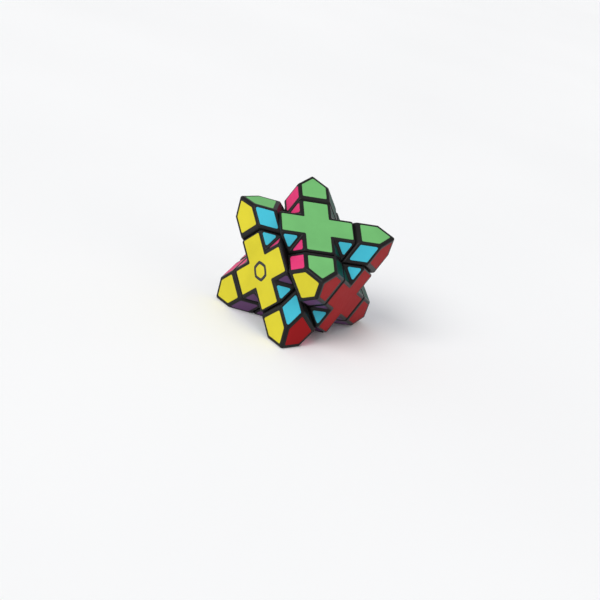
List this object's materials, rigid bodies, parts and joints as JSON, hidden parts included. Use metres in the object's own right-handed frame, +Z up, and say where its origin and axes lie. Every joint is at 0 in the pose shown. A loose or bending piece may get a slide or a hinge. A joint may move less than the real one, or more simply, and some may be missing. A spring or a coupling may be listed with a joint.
{
  "type": "deep cut twisty puzzle",
  "caption": "Cube-based twisty puzzle with an X on each face and a V-notch at every edge, standing on one face with one half turned part of the way round.",
  "frame": {"origin": "centre of the core, where the four turning axes cross", "axes": "+Z up, -Y front (yellow face), +X right; the resting half is square to the axes"},
  "size_m": [0.0721, 0.0721, 0.0721],
  "materials": {
    "shell_plastic": "satin",
    "foot_plastic": "matte",
    "core_plastic": "matte",
    "steel": "bright",
    "spring_wire": "bright",
    "vinyl_red": "satin",
    "vinyl_white": "satin",
    "vinyl_blue": "satin",
    "vinyl_yellow": "satin",
    "vinyl_green": "satin",
    "vinyl_orange": "satin",
    "vinyl_dark_green": "satin",
    "vinyl_cyan": "satin",
    "vinyl_magenta": "satin",
    "vinyl_purple": "satin"
  },
  "bodies": {
    "base_half": {"axis_screws": "steel", "centre_bottom_foot": "foot_plastic", "centre_bottom_shell": "shell_plastic", "centre_front_foot": "foot_plastic", "centre_front_shell": "shell_plastic", "centre_left_foot": "foot_plastic", "centre_left_shell": "shell_plastic", "core": "core_plastic", "corner_left_back_bottom_foot": "foot_plastic", "corner_left_back_bottom_shell": "shell_plastic", "corner_left_front_bottom_foot": "foot_plastic", "corner_left_front_bottom_shell": "shell_plastic", "corner_left_front_top_foot": "foot_plastic", "corner_left_front_top_shell": "shell_plastic", "corner_right_front_bottom_foot": "foot_plastic", "corner_right_front_bottom_shell": "shell_plastic", "springs": "spring_wire", "stickers_blue_base": "vinyl_blue", "stickers_cyan_base": "vinyl_cyan", "stickers_dark_green_base": "vinyl_dark_green", "stickers_green_base": "vinyl_green", "stickers_magenta_base": "vinyl_magenta", "stickers_orange_base": "vinyl_orange", "stickers_purple_base": "vinyl_purple", "stickers_red_base": "vinyl_red", "stickers_white_base": "vinyl_white", "stickers_yellow_base": "vinyl_yellow", "washers": "steel"},
    "turning_half": {"centre_back_foot": "foot_plastic", "centre_back_shell": "shell_plastic", "centre_right_foot": "foot_plastic", "centre_right_shell": "shell_plastic", "centre_top_foot": "foot_plastic", "centre_top_shell": "shell_plastic", "corner_left_back_top_foot": "foot_plastic", "corner_left_back_top_shell": "shell_plastic", "corner_right_back_bottom_foot": "foot_plastic", "corner_right_back_bottom_shell": "shell_plastic", "corner_right_back_top_foot": "foot_plastic", "corner_right_back_top_shell": "shell_plastic", "corner_right_front_top_foot": "foot_plastic", "corner_right_front_top_shell": "shell_plastic", "stickers_blue_turning": "vinyl_blue", "stickers_cyan_turning": "vinyl_cyan", "stickers_dark_green_turning": "vinyl_dark_green", "stickers_green_turning": "vinyl_green", "stickers_magenta_turning": "vinyl_magenta", "stickers_orange_turning": "vinyl_orange", "stickers_purple_turning": "vinyl_purple", "stickers_red_turning": "vinyl_red", "stickers_white_turning": "vinyl_white", "stickers_yellow_turning": "vinyl_yellow"}
  },
  "joints": [
    {"name": "half_turn", "type": "hinge", "parent": "base_half", "child": "turning_half", "pos_m": [0, 0, 0], "axis": [0.5774, 0.5774, 0.5774], "continuous": true}
  ]
}
